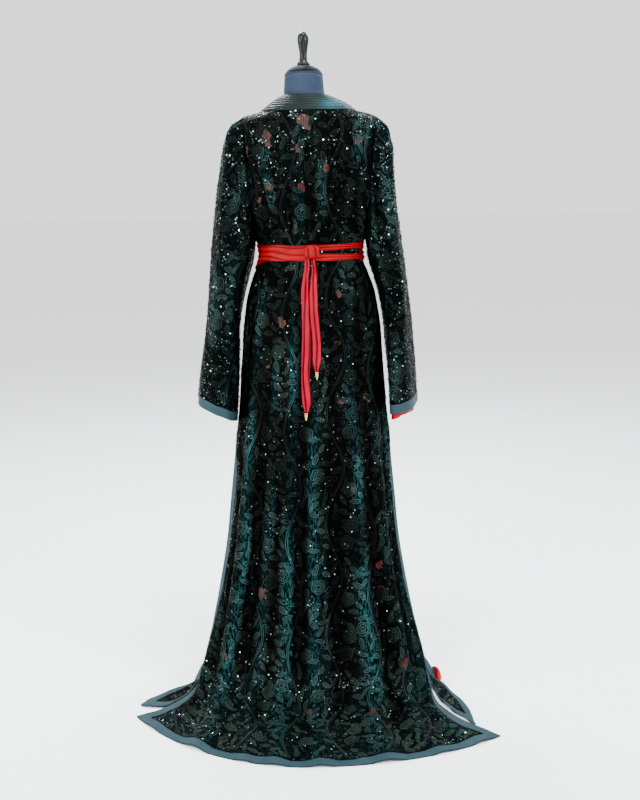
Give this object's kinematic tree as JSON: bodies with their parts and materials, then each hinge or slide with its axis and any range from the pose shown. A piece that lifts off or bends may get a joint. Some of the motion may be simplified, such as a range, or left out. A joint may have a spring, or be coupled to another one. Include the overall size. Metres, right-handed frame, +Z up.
{
  "type": "moroccan kaftan on dress form",
  "caption": "Floor-length kaftan of dark sequined velvet with ribbed neck band, braid edges, wide sleeves, a train and a knotted red satin sash, worn by a limbless dress form",
  "frame": {"origin": "centre of the stand's round underside, on the floor", "axes": "+Z up, -Y towards the viewer behind the kaftan, +X to that viewer's right"},
  "size_m": [0.922, 0.9944, 1.7431],
  "materials": {
    "velvet": "sequined burnt-out velvet, dark green",
    "braid": "woven braid, grey green",
    "band": "ribbed satin band, grey green",
    "satin": "soft satin, red",
    "gold": "pale gold, polished",
    "jersey": "knitted jersey, blue grey",
    "cap": "knitted jersey, near black",
    "finial": "turned and lacquered, dark",
    "metal": "satin black"
  },
  "bodies": {
    "root": {"form_torso": "jersey", "neck_cap": "cap", "neck_finial": "finial", "stand_pole": "metal", "stand_base": "metal", "back_panel": "velvet", "front_panel_right": "velvet", "front_panel_left": "velvet", "sleeve_left": "velvet", "sleeve_right": "velvet", "edge_trim_back": "braid", "edge_trim_front_right": "braid", "edge_trim_front_left": "braid", "cuff_trim_left": "braid", "cuff_trim_right": "braid", "neck_band": "band", "belt_wrap": "satin", "belt_strand_upper": "satin", "belt_strand_lower": "satin", "belt_knot": "satin", "belt_tail_long": "satin", "belt_tail_short": "satin", "belt_tip_long": "gold", "belt_tip_short": "gold", "cuff_lining_right": "satin", "hem_fold_right": "satin"}
  },
  "joints": []
}
